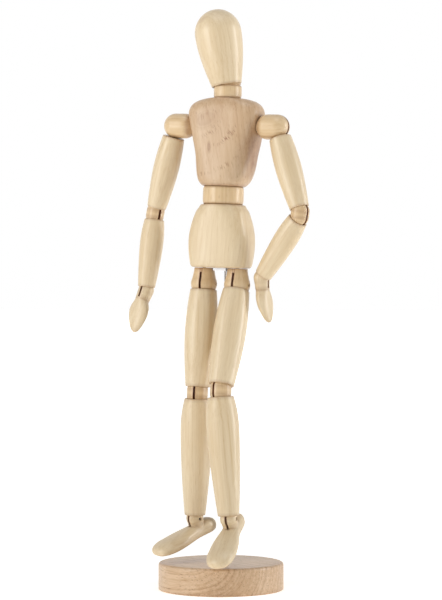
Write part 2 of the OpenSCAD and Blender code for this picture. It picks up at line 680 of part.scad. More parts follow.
multmatrix(knee_frame(LEFT)) double_pins(knee_d / 2);  // left_knee_pins
multmatrix(shin_hook_frame(LEFT)) swivel_hook(knee_d / 2);  // left_shin_hook
multmatrix(shin_frame(LEFT)) shin();  // left_shin
multmatrix(shin_frame(LEFT)) limb_spring(shin_len, knee_d / 2);  // left_shin_spring
multmatrix(foot_frame(LEFT)) foot();  // left_foot
multmatrix(foot_frame(LEFT)) cross_pin(ankle_d / 2);  // left_ankle_pin
multmatrix(shoulder_frame(RIGHT)) shoulder(RIGHT);  // right_shoulder
multmatrix(shoulder_frame(RIGHT)) shoulder_pin();  // right_shoulder_pin
multmatrix(arm_hook_frame(RIGHT)) upper_arm_hook();  // right_upper_arm_hook
multmatrix(upper_arm_frame(RIGHT)) upper_arm();  // right_upper_arm
multmatrix(upper_arm_frame(RIGHT)) limb_spring(upper_arm_len, shoulder_d / 2);  // right_upper_arm_spring
multmatrix(elbow_frame(RIGHT)) double_ball(elbow_d / 2);  // right_elbow
multmatrix(elbow_frame(RIGHT)) double_pins(elbow_d / 2);  // right_elbow_pins
multmatrix(forearm_hook_frame(RIGHT)) swivel_hook(elbow_d / 2);  // right_forearm_hook
multmatrix(forearm_frame(RIGHT)) forearm();  // right_forearm
multmatrix(forearm_frame(RIGHT)) limb_spring(forearm_len, elbow_d / 2);  // right_forearm_spring
multmatrix(hand_frame(RIGHT)) hand();  // right_hand
multmatrix(hand_frame(RIGHT)) cross_pin(wrist_d / 2);  // right_wrist_pin
multmatrix(hip_frame(RIGHT)) hip();  // right_hip
multmatrix(hip_frame(RIGHT)) cross_pin(hip_d / 2);  // right_hip_pin
multmatrix(thigh_hook_frame(RIGHT)) swivel_hook(hip_d / 2);  // right_thigh_hook
multmatrix(thigh_frame(RIGHT)) thigh();  // right_thigh
multmatrix(thigh_frame(RIGHT)) limb_spring(thigh_len, hip_d / 2);  // right_thigh_spring
multmatrix(knee_frame(RIGHT)) double_ball(knee_d / 2);  // right_knee
multmatrix(knee_frame(RIGHT)) double_pins(knee_d / 2);  // right_knee_pins
multmatrix(shin_hook_frame(RIGHT)) swivel_hook(knee_d / 2);  // right_shin_hook
multmatrix(shin_frame(RIGHT)) shin();  // right_shin
multmatrix(shin_frame(RIGHT)) limb_spring(shin_len, knee_d / 2);  // right_shin_spring
multmatrix(foot_frame(RIGHT)) foot();  // right_foot
multmatrix(foot_frame(RIGHT)) cross_pin(ankle_d / 2);  // right_ankle_pin
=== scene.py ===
import json
import math
import random
import bpy
import bmesh
from mathutils import Matrix, Vector


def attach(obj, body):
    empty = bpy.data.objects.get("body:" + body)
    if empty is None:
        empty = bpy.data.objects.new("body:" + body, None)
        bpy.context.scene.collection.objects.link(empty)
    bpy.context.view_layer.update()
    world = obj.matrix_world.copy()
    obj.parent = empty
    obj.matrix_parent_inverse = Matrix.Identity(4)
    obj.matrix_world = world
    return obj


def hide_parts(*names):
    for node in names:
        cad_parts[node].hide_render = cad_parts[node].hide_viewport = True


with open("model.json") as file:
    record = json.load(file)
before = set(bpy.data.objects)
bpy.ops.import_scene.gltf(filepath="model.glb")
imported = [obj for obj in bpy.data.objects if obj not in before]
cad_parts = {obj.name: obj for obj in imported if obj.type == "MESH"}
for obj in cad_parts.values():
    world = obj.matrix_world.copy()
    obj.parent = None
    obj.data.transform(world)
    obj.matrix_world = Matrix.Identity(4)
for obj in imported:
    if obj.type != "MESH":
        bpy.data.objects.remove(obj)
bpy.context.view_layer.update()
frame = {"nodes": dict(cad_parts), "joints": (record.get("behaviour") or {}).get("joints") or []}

mm = 0.001
joints = {j["name"]: j for j in frame["joints"]}
sides = {"left": 1, "right": -1}  # the figure faces -Y, so its left is +X


def pin(name): return Vector(joints[name]["pos_m"])
def axle(name): return Vector(joints[name]["axis"])


def stand(origin, across, up):
    # a piece's own frame: Z up the piece, X along its cross pin
    z = up.normalized()
    x = (across - across.dot(z) * z).normalized()
    return Matrix.Translation(origin) @ Matrix((x, z.cross(x), z)).transposed().to_4x4()


def bend(place, degrees, axis="X"):
    return place @ Matrix.Rotation(math.radians(degrees), 4, axis)


# camera and lights
view = dict(turn=25, distance=1.26, height=0.164, lens=133.2)
turn = math.radians(view["turn"])
cam = bpy.data.objects.new("camera", bpy.data.cameras.new("camera"))
cam.data.lens = view["lens"]
cam.data.sensor_width = 36
cam.data.clip_start = 0.05
cam.location = (view["distance"] * math.sin(turn), -view["distance"] * math.cos(turn), view["height"])
cam.rotation_euler = (math.pi / 2, 0, turn)
bpy.context.scene.collection.objects.link(cam)
bpy.context.scene.camera = cam
bpy.context.scene.view_settings.view_transform = "Standard"

# each light: degrees round from the camera, height, distance, width, tall, watts, warmth
lights = dict(
    keyLeft=(-60, 0.46, 1.10, 0.40, 0.9, 5.9, (1.0, 0.99, 0.975)),
    sideRight=(88, 0.30, 1.00, 0.12, 1.0, 6.2, (0.98, 0.99, 1.0)),
    overhead=(0, 1.30, 0.30, 0.7, 0.7, 4.0, (1, 0.995, 0.985)),
)
for name, (round_, high, away, wide, tall, watts, shade) in lights.items():
    data = bpy.data.lights.new(name, "AREA")
    data.shape, data.size, data.size_y, data.energy, data.color = "RECTANGLE", wide, tall, watts, shade
    lamp = bpy.data.objects.new(name, data)
    a = turn + math.radians(round_)
    lamp.location = (away * math.sin(a), -away * math.cos(a), high)
    aim = Vector((0, 0, 0.17)) - lamp.location
    lamp.rotation_euler = aim.to_track_quat("-Z", "Y").to_euler()
    bpy.context.scene.collection.objects.link(lamp)
world = bpy.data.worlds.new("studio")
bpy.context.scene.world = world
world.use_nodes = True
sky = world.node_tree
sky.nodes["Background"].inputs[0].default_value = (1, 1, 1, 1)
sky.nodes["Background"].inputs[1].default_value = 0.10  # light that reaches the figure
paper = sky.nodes.new("ShaderNodeBackground")  # what stands behind it in a picture
paper.inputs[0].default_value, paper.inputs[1].default_value = (1, 1, 1, 1), 1.0
ray, pick, seen = (sky.nodes.new("ShaderNode" + kind) for kind in ("LightPath", "MixShader", "Math"))
seen.operation = "MAXIMUM"
sky.links.new(ray.outputs["Is Camera Ray"], seen.inputs[0])
sky.links.new(ray.outputs["Is Glossy Ray"], seen.inputs[1])  # the gloss mirrors the white studio
sky.links.new(seen.outputs[0], pick.inputs[0])
sky.links.new(sky.nodes["Background"].outputs[0], pick.inputs[1])
sky.links.new(paper.outputs[0], pick.inputs[2])
sky.links.new(pick.outputs[0], sky.nodes["World Output"].inputs[0])
print("camera and lights")


# shader maths, so that patterns can be written as sums
class Flow:
    def __init__(self, shop, socket): self.shop, self.socket = shop, socket
    def sum(self, kind, other=None, third=None):
        node = self.shop.add("ShaderNodeMath", dict(operation=kind), {0: self, 1: other, 2: third})
        return Flow(self.shop, node.outputs[0])
    def __add__(self, o): return self.sum("ADD", o)
    def __radd__(self, o): return self.sum("ADD", o)
    def __sub__(self, o): return self.sum("SUBTRACT", o)
    def __rsub__(self, o): return (self * -1).sum("ADD", o)
    def __mul__(self, o): return self.sum("MULTIPLY", o)
    def __rmul__(self, o): return self.sum("MULTIPLY", o)
    def __truediv__(self, o): return self.sum("DIVIDE", o)
    def __pow__(self, o): return self.sum("POWER", o)
    def held(self, low=0.0, high=1.0): return self.sum("MAXIMUM", low).sum("MINIMUM", high)


class Shop:
    def __init__(self, name):
        self.mat = bpy.data.materials.new(name)
        self.mat.use_nodes = True
        self.tree = self.mat.node_tree
        self.skin = self.tree.nodes["Principled BSDF"]
        coord = self.add("ShaderNodeTexCoord")
        self.at = Flow(self, coord.outputs["Object"])

    def add(self, kind, settings=None, inputs=None):
        node = self.tree.nodes.new(kind)
        for key, value in (settings or {}).items():
            setattr(node, key, value)
        self.feed(node, inputs or {})
        return node

    def feed(self, node, inputs):
        for key, value in inputs.items():
            if value is None: continue
            if isinstance(value, Flow): self.tree.links.new(value.socket, node.inputs[key])
            else: node.inputs[key].default_value = value

    def out(self, node, key=0): return Flow(self, node.outputs[key])

    def noise(self, where, scale, detail=2.0, rough=0.5, wander=0.0):
        return self.out(self.add("ShaderNodeTexNoise", dict(noise_dimensions="3D"), {
            "Vector": where, "Scale": scale, "Detail": detail, "Roughness": rough, "Distortion": wander}))

    def stretched(self, where, scale):
        return self.out(self.add("ShaderNodeVectorMath", dict(operation="MULTIPLY"), {0: where, 1: scale}))

    def shifted(self, where, by):
        return self.out(self.add("ShaderNodeVectorMath", dict(operation="ADD"), {0: where, 1: by}))

    def step(self, value, low, high):
        node = self.add("ShaderNodeMapRange", dict(interpolation_type="SMOOTHSTEP"),
                        {"Value": value, "From Min": low, "From Max": high})
        return self.out(node)

    def mixed(self, amount, first, second, kind="MIX"):
        node = self.add("ShaderNodeMix", dict(data_type="RGBA", blend_type=kind),
                        {0: amount, 6: first, 7: second})
        return self.out(node, 2)


def tint(red, green, blue):  # screen colour, 0 to 255, as the shader's linear colour
    def linear(c): return c / 12.92 if c <= 0.04045 else ((c + 0.055) / 1.055) ** 2.4
    return (*(linear(c / 255) for c in (red, green, blue)), 1)


woods = dict(
    lime=dict(pale=tint(227, 209, 177), deep=tint(204, 177, 134), line=tint(172, 134, 92), pore=0.26,
              rings=0.26, fibre=0.40, cloud=0.40, ringPitch=560, rough=0.42, grimeAndShade=0.40),
    ball=dict(pale=tint(224, 199, 160), deep=tint(199, 165, 118), line=tint(152, 108, 66), pore=0.34,
              rings=0.26, fibre=0.38, cloud=0.40, ringPitch=620, rough=0.38, grimeAndShade=0.50),
    chest=dict(pale=tint(207, 180, 147), deep=tint(180, 143, 104), line=tint(134, 90, 54), pore=0.62,
               rings=0.34, fibre=0.42, cloud=0.60, ringPitch=400, rough=0.44, grimeAndShade=0.42),
    base=dict(pale=tint(214, 184, 150), deep=tint(182, 144, 104), line=tint(116, 78, 48), pore=1.0,
              rings=0.55, fibre=0.80, cloud=0.62, ringPitch=620, rough=0.46, grimeAndShade=0.34),
)


def woodFinish(name, wood, place, seed, marks=()):
    # grain runs up the piece's own Z; place says where the piece stands
    w = woods[wood]
    luck = random.Random(seed)
    shop = Shop(name)
    here = shop.add("ShaderNodeMapping", dict(vector_type="TEXTURE"), {
        "Vector": shop.at, "Location": place.translation, "Rotation": place.to_euler("XYZ")})
    local = shop.out(here)
    spot = shop.shifted(local, [luck.uniform(-0.4, 0.4) for _ in range(3)])
    sway = shop.noise(shop.stretched(spot, (30, 30, 9)), 1.0, 2.0)
    heart = (luck.uniform(0.012, 0.03), luck.uniform(0.02, 0.05), 0)  # the tree's middle, off to one side
    core = shop.add("ShaderNodeSeparateXYZ", {}, {0: shop.shifted(local, heart)})
    far = (shop.out(core, 0) ** 2 + shop.out(core, 1) ** 2) ** 0.5
    ring = shop.out(shop.add("ShaderNodeTexNoise", dict(noise_dimensions="1D"), {
        "W": (far + sway * 0.009 + shop.out(core, 2) * 0.02) * w["ringPitch"],
        "Scale": 1.0, "Detail": 2.0, "Roughness": 0.6}))
    fibre = shop.noise(shop.stretched(spot, (2400, 2400, 70)), 1.0, 3.0, 0.65)
    coarse = shop.noise(shop.stretched(spot, (620, 620, 22)), 1.0, 3.0, 0.6)
    cloud = shop.noise(shop.stretched(spot, (38, 38, 16)), 1.0, 3.0, 0.55)
    pores = shop.step(shop.noise(shop.stretched(spot, (1500, 1500, 210)), 1.0, 1.0), 0.63, 0.74)
    depth = (ring - 0.5) * w["rings"] * 2 + (fibre - 0.5) * w["fibre"] * 1.6 \
        + (coarse - 0.5) * w["fibre"] * 2 + (cloud - 0.5) * w["cloud"] * 2 + 0.42
    colour = shop.mixed(depth.held(), w["pale"], w["deep"])
    lines = shop.step(ring, 0.60, 0.74) * shop.step(fibre, 0.35, 0.65)
    colour = shop.mixed((lines * w["rings"] * 0.42 + pores * w["pore"] * 0.55).held(), colour, w["line"])
    for x, z, wide, tall, slant, dark, dashes in marks:  # small figures in the wood, millimetres
        turned = shop.out(shop.add("ShaderNodeMapping", dict(vector_type="TEXTURE"), {
            "Vector": local, "Location": (x * mm, 0, z * mm), "Rotation": (0, math.radians(slant), 0)}))
        part = shop.add("ShaderNodeSeparateXYZ", {}, {0: turned})
        oval = ((shop.out(part, 0) / (wide * mm)) ** 2 + (shop.out(part, 2) / (tall * mm)) ** 2)
        if dashes:
            flick = shop.step(shop.noise(shop.stretched(turned, (1300, 200, 330)), 1.0, 2.0), 0.50, 0.68)
            colour = shop.mixed(((1 - oval).held() * flick * dark).held(), colour, w["line"])
        else:
            shell = shop.step(oval, 0.0, 1.0)
            eye = (shell * 19).sum("SINE") * 0.25 + 0.75
            colour = shop.mixed(((1 - shell) * eye * dark).held(), colour, w["line"])
    # painted shade mixed with handling grime: where the per-point rub value is high (near seams, in slots,
    # under the arm) the wood is darkened towards brown
    rubAndShade = shop.out(shop.add("ShaderNodeAttribute", dict(attribute_name="rubAndShade")), "Fac")
    blotch = shop.noise(shop.stretched(spot, (260, 260, 260)), 1.0, 2.0)
    edge = (rubAndShade * (blotch * 0.9 + 0.45)).held(0, 2.2)
    colour = shop.mixed((edge * w["grimeAndShade"]).held(), colour, tint(156, 104, 58), "MULTIPLY")
    shop.feed(shop.skin, {
        "Base Color": colour,
        "Roughness": (w["rough"] + (fibre - 0.5) * 0.16 + (cloud - 0.5) * 0.14 + pores * 0.12).held(0.2, 0.8),
        "Specular IOR Level": 0.45, "Coat Weight": 0.34, "Coat Roughness": 0.26})
    relief = shop.add("ShaderNodeBump", {}, {
        "Strength": 0.22, "Distance": 0.00022, "Height": fibre * 0.5 + coarse * 0.55 - pores * 0.6})
    shop.feed(shop.skin, {"Normal": shop.out(relief)})
    return shop.mat


def steelFinish(name, rough, shade, along=(60, 60, 1600)):
    shop = Shop(name)
    scratch = shop.noise(shop.stretched(shop.at, along), 1.0, 3.0, 0.6)
    dull = shop.noise(shop.stretched(shop.at, (420, 420, 420)), 1.0, 3.0)
    colour = shop.mixed((dull * 0.7 + scratch * 0.3).held(), tint(*(c * 0.78 for c in shade)), tint(*shade))
    shop.feed(shop.skin, {"Base Color": colour, "Metallic": 1.0,
                          "Roughness": (rough + (dull - 0.5) * 0.22
                                        + (scratch - 0.5) * 0.18).held(0.08, 0.9)})
    relief = shop.add("ShaderNodeBump", {}, {"Strength": 0.12, "Distance": 0.00006, "Height": scratch})
    shop.feed(shop.skin, {"Normal": shop.out(relief)})
    return shop.mat


# how shapes are made
def takeOn(name, mesh, place=None):
    ob = bpy.data.objects.new(name, mesh)
    bpy.context.scene.collection.objects.link(ob)
    if place is not None: mesh.transform(place)
    return ob


def plain(ob):  # modifiers worked out into a plain mesh
    bpy.context.view_layer.update()
    graph = bpy.context.evaluated_depsgraph_get()
    mesh = bpy.data.meshes.new_from_object(ob.evaluated_get(graph))
    old = ob.data
    ob.modifiers.clear()
    ob.data = mesh
    bpy.data.meshes.remove(old)
    return ob


def faceOut(mesh, sharp=38):
    bm = bmesh.new()
    bm.from_mesh(mesh)
    bmesh.ops.remove_doubles(bm, verts=bm.verts, dist=1e-6)
    bmesh.ops.dissolve_degenerate(bm, edges=bm.edges, dist=1e-7)
    bmesh.ops.recalc_face_normals(bm, faces=bm.faces)
    for f in bm.faces: f.smooth = True
    bm.to_mesh(mesh)
    bm.free()
    mesh.set_sharp_from_angle(angle=math.radians(sharp))


def latheTree():
    tree = bpy.data.node_groups.new("turnOnLathe", "GeometryNodeTree")
    face = tree.interface
    for label, kind in (("Profile", "Geometry"), ("Sides", "Int"), ("Out of round", "Float"),
                        ("Seed", "Float"), ("Finish", "Material")):
        face.new_socket(label, in_out="INPUT", socket_type="NodeSocket" + kind)
    face.new_socket("Turned", in_out="OUTPUT", socket_type="NodeSocketGeometry")

    def add(kind, settings=None, inputs=None):
        node = tree.nodes.new(kind)
        for key, value in (settings or {}).items(): setattr(node, key, value)
        for key, value in (inputs or {}).items():
            if hasattr(value, "is_output"): tree.links.new(value, node.inputs[key])
            else: node.inputs[key].default_value = value
        return node

    def calc(kind, a, b=0.0): return add("ShaderNodeMath", dict(operation=kind), {0: a, 1: b}).outputs[0]
    given = add("NodeGroupInput").outputs
    size = add("GeometryNodeAttributeDomainSize", dict(component="MESH"), {"Geometry": given["Profile"]})
    count = size.outputs["Point Count"]
    around = calc("ADD", given["Sides"], 1.0)
    grid = add("GeometryNodeMeshGrid", {}, {"Vertices X": around, "Vertices Y": count})
    index = add("GeometryNodeInputIndex").outputs[0]
    ring = calc("MODULO", index, count)
    spoke = calc("FLOOR", calc("DIVIDE", calc("ADD", index, 0.5), count))
    sample = add("GeometryNodeSampleIndex", dict(data_type="FLOAT_VECTOR", domain="POINT"), {
        "Geometry": given["Profile"], "Index": ring})
    tree.links.new(add("GeometryNodeInputPosition").outputs[0], sample.inputs["Value"])
    point = add("ShaderNodeSeparateXYZ", {}, {0: sample.outputs["Value"]}).outputs
    angle = calc("DIVIDE", calc("MULTIPLY", spoke, math.tau), given["Sides"])
    c, s = calc("COSINE", angle), calc("SINE", angle)
    place = add("ShaderNodeCombineXYZ", {}, {0: c, 1: s, 2: calc("MULTIPLY", point[2], 40.0)})
    shift = add("ShaderNodeCombineXYZ", {}, {0: given["Seed"], 1: given["Seed"], 2: 0.0})
    spot = add("ShaderNodeVectorMath", dict(operation="ADD"), {0: place.outputs[0], 1: shift.outputs[0]})
    rough = add("ShaderNodeTexNoise", {}, {"Vector": spot.outputs[0], "Scale": 0.6, "Detail": 0.0})
    swell = calc("ADD", calc("MULTIPLY", calc("SUBTRACT", rough.outputs[0], 0.5), given["Out of round"]), 1.0)
    r = calc("MULTIPLY", point[0], swell)
    x, y = calc("MULTIPLY", r, c), calc("MULTIPLY", r, s)
    spun = add("ShaderNodeCombineXYZ", {}, {0: x, 1: y, 2: point[2]})
    moved = add("GeometryNodeSetPosition", {}, {
        "Geometry": grid.outputs["Mesh"], "Position": spun.outputs[0]})
    closed = add("GeometryNodeMergeByDistance", {}, {"Geometry": moved.outputs[0], "Distance": 1e-6})
    real = add("GeometryNodeRealizeInstances", {}, {"Geometry": closed.outputs[0]})
    done = add("GeometryNodeSetMaterial", {}, {"Geometry": real.outputs[0], "Material": given["Finish"]})
    add("NodeGroupOutput", {}, {0: done.outputs[0]})
    return tree


lathe = latheTree()


def turned(name, profile, finish, sides=112, seed=1.0, wobble=0.004):
    # profile: (radius, height) in millimetres, a closed loop or from axis to axis
    mesh = bpy.data.meshes.new(name)
    points = [(r * mm, 0, z * mm) for r, z in profile]
    mesh.from_pydata(points, [(i, i + 1) for i in range(len(points) - 1)], [])
    ob = takeOn(name, mesh)
    mod = ob.modifiers.new("lathe", "NODES")
    mod.node_group = lathe
    keys = {item.name: item.identifier for item in lathe.interface.items_tree if item.in_out == "INPUT"}
    mod[keys["Sides"]], mod[keys["Out of round"]], mod[keys["Seed"]] = sides, wobble, seed
    mod[keys["Finish"]] = finish
    plain(ob)
    faceOut(ob.data)
    return ob


def arc(centre, r, start, end, steps=10):
    # points round a circle in the lathe's plane, degrees up from the radius
    turns = [math.radians(start + (end - start) * i / steps) for i in range(steps + 1)]
    return [(r * math.cos(a), centre + r * math.sin(a)) for a in turns]


def smoothStations(stations, fine=5):
    out = []
    n = len(stations)
    for i in range(n - 1):
        a, b, c, d = (stations[max(0, min(n - 1, k))] for k in (i - 1, i, i + 1, i + 2))
        for k in range(fine):
            t = k / fine
            out.append(tuple(0.5 * (2 * q + (r - p) * t + (2 * p - 5 * q + 4 * r - s) * t * t
                                    + (3 * q - p - 3 * r + s) * t ** 3) for p, q, r, s in zip(a, b, c, d)))
    out.append(tuple(stations[-1]))
    return out


def squircle(rx, ry, power, count, cx=0.0, cy=0.0):
    ring = []
    for i in range(count):
        a = math.tau * i / count
        c, s = math.cos(a), math.sin(a)
        ring.append((cx + rx * math.copysign(abs(c) ** (2 / power), c),
                     cy + ry * math.copysign(abs(s) ** (2 / power), s)))
    return ring


def lofted(name, rings):
    # rings: loops of points in millimetres, closed at both ends
    mesh = bpy.data.meshes.new(name)
    n = len(rings[0])
    points = [tuple(v * mm for v in p) for ring in rings for p in ring]
    faces = [(r * n + i, r * n + (i + 1) % n, (r + 1) * n + (i + 1) % n, (r + 1) * n + i)
             for r in range(len(rings) - 1) for i in range(n)]
    for r in (0, len(rings) - 1):
        middle = [sum(p[k] for p in rings[r]) / n * mm for k in range(3)]
        points.append(tuple(middle))
        faces += [(r * n + i, r * n + (i + 1) % n, len(points) - 1) for i in range(n)]
    mesh.from_pydata(points, [], faces)
    faceOut(mesh)
    return takeOn(name, mesh)


def boxCutter(size, centre):
    mesh = bpy.data.meshes.new("cutter")
    bm = bmesh.new()
    bmesh.ops.create_cube(bm, size=1)
    bmesh.ops.scale(bm, vec=[v * mm for v in size], verts=bm.verts)
    bmesh.ops.translate(bm, vec=[v * mm for v in centre], verts=bm.verts)
    bm.to_mesh(mesh)
    bm.free()
    return takeOn("cutter", mesh)


def roundCutter(r, length, centre, axis="X"):
    mesh = bpy.data.meshes.new("cutter")
    bm = bmesh.new()
    bmesh.ops.create_cone(bm, cap_ends=True, segments=28, radius1=r * mm, radius2=r * mm, depth=length * mm)
    if axis != "Z":
        quarter = Matrix.Rotation(math.pi / 2, 3, "Y" if axis == "X" else "X")
        bmesh.ops.rotate(bm, verts=bm.verts, matrix=quarter)
    bmesh.ops.translate(bm, vec=[v * mm for v in centre], verts=bm.verts)
    bm.to_mesh(mesh)
    bm.free()
    return takeOn("cutter", mesh)


def ballCutter(r, centre):
    mesh = bpy.data.meshes.new("cutter")
    bm = bmesh.new()
    bmesh.ops.create_uvsphere(bm, u_segments=72, v_segments=48, radius=r * mm)
    bmesh.ops.translate(bm, vec=[v * mm for v in centre], verts=bm.verts)
    bm.to_mesh(mesh)
    bm.free()
    return takeOn("cutter", mesh)


def cut(ob, cutters, how="DIFFERENCE"):
    for cutter in cutters:
        mod = ob.modifiers.new("cut", "BOOLEAN")
        mod.operation, mod.solver, mod.object = how, "EXACT", cutter
    plain(ob)
    for cutter in cutters:
        old = cutter.data
        bpy.data.objects.remove(cutter)
        bpy.data.meshes.remove(old)
    faceOut(ob.data)
    return ob


def markRubAndShade(ob, measure):
    # how handled or how near a seam each point is, as grime and painted shade, 0 to 1, in the piece's own
    # frame
    layer = ob.data.attributes.new("rubAndShade", "FLOAT", "POINT")
    layer.data.foreach_set("value", [max(0.0, min(2.2, measure(v.co / mm))) for v in ob.data.vertices])


def near(distance, width): return math.exp(-(distance / width) ** 2)


def finished(ob, place, finish, body, nodes):
    ob.data.transform(place)
    ob.data.materials.clear()
    ob.data.materials.append(finish)
    for poly in ob.data.polygons: poly.material_index = 0
    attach(ob, body)
    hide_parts(*nodes)
    return ob


# where each piece stands, from the joints
places = {}
pelvisZ = pin("figure_turn").z
places["base"] = Matrix.Identity(4)
places["pelvis"] = stand(Vector((0, 0, pelvisZ)), axle("waist_bow"), axle("left_hip_turn"))
places["waist"] = stand(pin("waist_bow"), axle("waist_bow"), axle("waist_twist"))
spine = (pin("neck_nod") - pin("chest_lean")).normalized()
chest = dict(high=49.8, waistGap=5.3, neckGap=3.7)
chestFoot = pin("chest_lean") + spine * chest["waistGap"] * mm
places["chest"] = stand(chestFoot, axle("left_shoulder_swing"), spine)
places["neck"] = stand(pin("neck_nod"), axle("neck_nod"), axle("head_turn"))
headTilt = -12
places["head"] = bend(places["neck"], headTilt, "Y") @ Matrix.Translation((0, 0, chest["neckGap"] * mm))
restBends = dict(left_hand=40, right_hand=-22, left_foot=32, right_foot=17)
for s, sign in sides.items():
    raiseAxis = axle(f"{s}_arm_raise") * -sign
    swing = axle(f"{s}_shoulder_swing")
    places[f"{s}_shoulder"] = stand(pin(f"{s}_arm_raise"), swing, swing.cross(raiseAxis))
    for piece, top, low in (
            ("upper_arm", "arm_raise", "elbow_upper"), ("elbow", "elbow_upper", "elbow_lower"),
            ("forearm", "elbow_lower", "wrist_bend"), ("thigh", "leg_swing", "knee_upper"),
            ("knee", "knee_upper", "knee_lower"), ("shin", "knee_lower", "ankle_bend")):
        above, below = pin(f"{s}_{top}"), pin(f"{s}_{low}")
        places[f"{s}_{piece}"] = stand(above, axle(f"{s}_{low}"), above - below)
    places[f"{s}_hip"] = stand(pin(f"{s}_leg_swing"), axle(f"{s}_leg_swing"), axle(f"{s}_hip_turn"))
    for piece, above, at in (("hand", "forearm", "wrist_bend"), ("foot", "shin", "ankle_bend")):
        start = stand(pin(f"{s}_{at}"), axle(f"{s}_{at}"), places[f"{s}_{above}"].col[2].to_3d())
        places[f"{s}_{piece}"] = bend(start, restBends[f"{s}_{piece}"])
print("places worked out")

# base, with a bore for the rod
base = dict(across=71, high=15.5, topEdge=1.6, footEdge=0.7)
r, h, e, f = base["across"] / 2, base["high"], base["topEdge"], base["footEdge"]
profile = [(0, 0), (8, 0), (20, 0), (r - 3, 0), (r - f, 0)] + arc(f, f, -90, 0, 4)[1:]
profile = [(p[0] + (r - f if i > 4 else 0), p[1]) for i, p in enumerate(profile)]
profile += [(r, 3), (r, 6), (r, 9), (r, h - e - 0.6)]
profile += [(r - e + x, z) for x, z in arc(h - e, e, 0, 90, 8)]
profile += [(r - e - 0.8, h), (r - 5, h), (20, h), (8, h), (0, h)]
grainAcross = bend(bend(places["base"], 90, "Y"), 24)
baseWood = woodFinish("base_beech", "base", grainAcross, 11)
ob = turned("base_disc", profile, baseWood, 160, 3.0, 0.0015)
cut(ob, [roundCutter(1.56, 16, (0, 8, 11), "Z")])
markRubAndShade(ob, lambda v: max(
    near(v.z, 0.8),
    0.55 * near(math.hypot(v.x, v.y - 8) - 1.5, 0.7) if v.z > h - 0.5 else 0,
    0.35 * near(math.hypot(v.x, v.y) - r + 0.4, 0.8) * near(v.z - h, 1.4)))
finished(ob, places["base"], baseWood, "base", ["base"])

# trunk: pelvis and chest are lofted, waist, neck and head are turned
pelvis = dict(high=35.8, wide=35.5, deep=25, seat=12.25, rodBack=8)
waist = dict(across=23.2, ball=12.7, bore=3.6, half=5.3, round=0.75)
neck = dict(across=15.8, ball=8.6, bore=3.6, half=3.7, round=0.45)
gap = 0.15  # between a ball and its cup


def cupRings(seat, ballR, centre, up, count):
    # rings from the seat's rim down into the cup; up is +1 for a cup that opens upwards
    rings = []
    R = ballR + gap
    rimAngle = math.asin(min(1, seat / R))
    for t in (1.0, 0.93, 0.8, 0.6, 0.4, 0.2, 0.06):
        a = rimAngle * t
        r = R * math.sin(a)
        rings.append([(x, y, centre - up * R * math.cos(a)) for x, y in squircle(r, r, 2, count)])
    return rings


count = 96
# height, half width, half depth, squareness
stations = [
    (0.0, 12.8, 9.6, 2.8), (0.15, 15.5, 11.5, 3.2), (0.6, 16.3, 12.0, 3.3), (1.6, 16.8, 12.3, 3.4),
    (4, 17.3, 12.6, 3.4), (9, 17.95, 12.85, 3.5), (15, 18.2, 12.95, 3.5), (20, 17.8, 12.9, 3.4),
    (25, 16.8, 12.75, 3.2), (29, 15.7, 12.6, 2.9), (32, 14.7, 12.4, 2.6), (34, 13.55, 12.2, 2.25),
    (35.2, 13.0, 12.15, 2.1), (35.7, 12.5, 12.05, 2.05)]
rings = [[(x, y, z) for x, y in squircle(rx, ry, power, count)]
         for z, rx, ry, power in smoothStations(stations, 4)]
rings = [[(x * 0.5, y * 0.5, 0.0) for x, y, _ in rings[0]]] + rings
rings += cupRings(11.75, waist["ball"], pelvis["high"] + waist["half"], 1, count)
pelvisWood = woodFinish("pelvis_wood", "lime", bend(places["pelvis"], 4, "Y"), 23)
ob = lofted("pelvis_block", rings)
rodHole = roundCutter(1.56, 40, (0, 0, 0), "Z")
rodHole.data.transform(places["pelvis"].inverted() @ Matrix.Translation((0, pelvis["rodBack"] * mm, pelvisZ)))
cut(ob, [rodHole])
markRubAndShade(ob, lambda v: max(0.8 * near(v.z, 0.9), near(v.z - 35.7, 0.9)))
finished(ob, places["pelvis"], pelvisWood, "pelvis", ["pelvis"])

# height, half width, depth in front and behind, squareness, how much the front is narrower than the back
stations = [
    (0.05, 12.1, 12.1, 12.1, 2.05, 0), (0.4, 12.6, 12.3, 12.2, 2.2, 0.01), (1.2, 13.3, 12.5, 12.4, 2.4, 0.03),
    (2.6, 14.3, 12.8, 12.7, 2.7, 0.07), (4.8, 15.3, 13.0, 12.9, 3.0, 0.12), (8, 16.2, 13.0, 13.0, 3.4, 0.17),
    (12, 16.9, 12.9, 13.0, 3.8, 0.2), (18, 17.7, 12.4, 12.7, 4.2, 0.2), (25, 19.1, 12.0, 12.3, 4.6, 0.16),
    (32, 20.4, 11.5, 11.7, 4.7, 0.10), (37, 21.2, 11.2, 11.3, 4.5, 0.05), (41, 21.5, 10.9, 11.0, 4.1, 0),
    (43.8, 21.1, 10.4, 10.5, 3.7, 0), (46.0, 19.9, 9.8, 9.9, 3.2, 0), (47.7, 17.7, 9.0, 9.3, 2.8, 0),
    (48.8, 14.8, 8.4, 8.9, 2.5, 0), (49.5, 11.3, 8.25, 8.6, 2.3, 0), (49.8, 8.6, 8.5, 8.5, 2.0, 0)]
rings = []
for z, wide, front, back, power, narrow in smoothStations(stations, 4):
    ring = squircle(wide, 1, power, 2 * count)
    rings.append([(x * (1 - narrow * max(0, -y)), y * (front if y < 0 else back), z) for x, y in ring])
rings = cupRings(11.75, waist["ball"], -waist["half"], -1, 2 * count)[::-1] + rings
rings += cupRings(7.95, neck["ball"], chest["high"] + neck["half"], 1, 2 * count)
